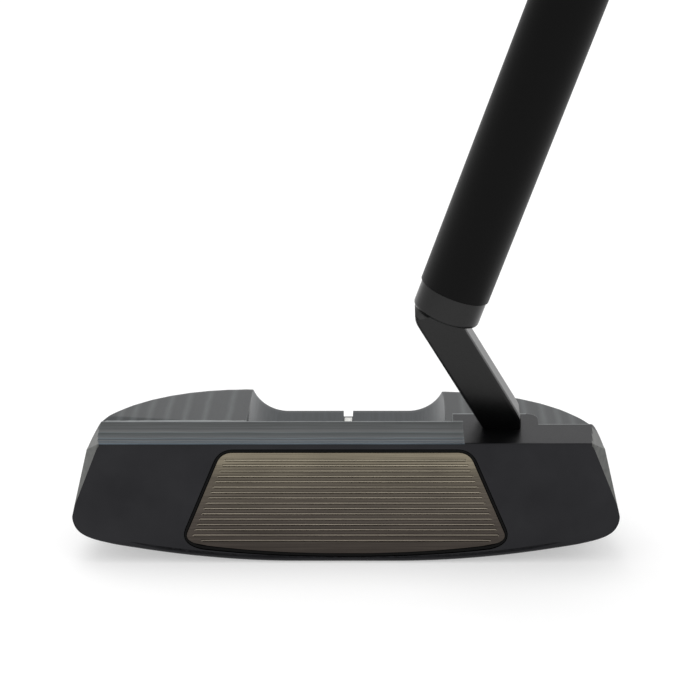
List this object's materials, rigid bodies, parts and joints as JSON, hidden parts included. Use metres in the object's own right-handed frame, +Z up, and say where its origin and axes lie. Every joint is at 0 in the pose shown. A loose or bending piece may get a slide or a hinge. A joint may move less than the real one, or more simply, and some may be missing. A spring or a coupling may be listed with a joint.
{
  "type": "mallet putter",
  "caption": "Right-handed mid-mallet golf putter with a grooved face insert, twin rear wings, slant neck, black shaft and paddle grip.",
  "frame": {"origin": "on the ground, at the middle of the sole's flat, under the sight line", "axes": "+Z up, +X towards the heel and the golfer, -Y the way the face points (towards the hole), +Y to the back of the head"},
  "size_m": [0.3653, 0.0535, 0.8156],
  "materials": {
    "anodised_aluminium": "bead-blasted, milled and black anodised",
    "bronze_insert": "milled, bronze PVD",
    "black_elastomer": "moulded elastomer",
    "white_paint": "paint fill",
    "black_steel": "bead-blasted, black PVD",
    "satin_steel": "satin machined stainless",
    "matt_black_shaft": "matt black coating on steel tube",
    "grip_tape": "double-sided crepe tape",
    "grip_foam": "foam underlisting",
    "grip_skin": "embossed polyurethane skin",
    "grip_rubber": "moulded rubber"
  },
  "bodies": {
    "root": {"head_body": "anodised_aluminium", "insert_cradle": "black_elastomer", "face_insert": "bronze_insert", "sight_line_paint": "white_paint", "slant_neck": "black_steel", "neck_screw": "satin_steel", "sole_plate": "satin_steel", "sole_plate_screw_1": "black_steel", "sole_plate_screw_2": "black_steel", "sole_plate_screw_3": "black_steel", "sole_plate_screw_4": "black_steel", "toe_sole_weight": "satin_steel", "heel_sole_weight": "satin_steel", "toe_weight_washer": "black_elastomer", "heel_weight_washer": "black_elastomer", "shaft_tube": "matt_black_shaft", "grip_tape": "grip_tape", "grip_core": "grip_foam", "grip_skin": "grip_skin", "grip_end_cap": "grip_rubber", "cap_plug": "satin_steel"}
  },
  "joints": []
}
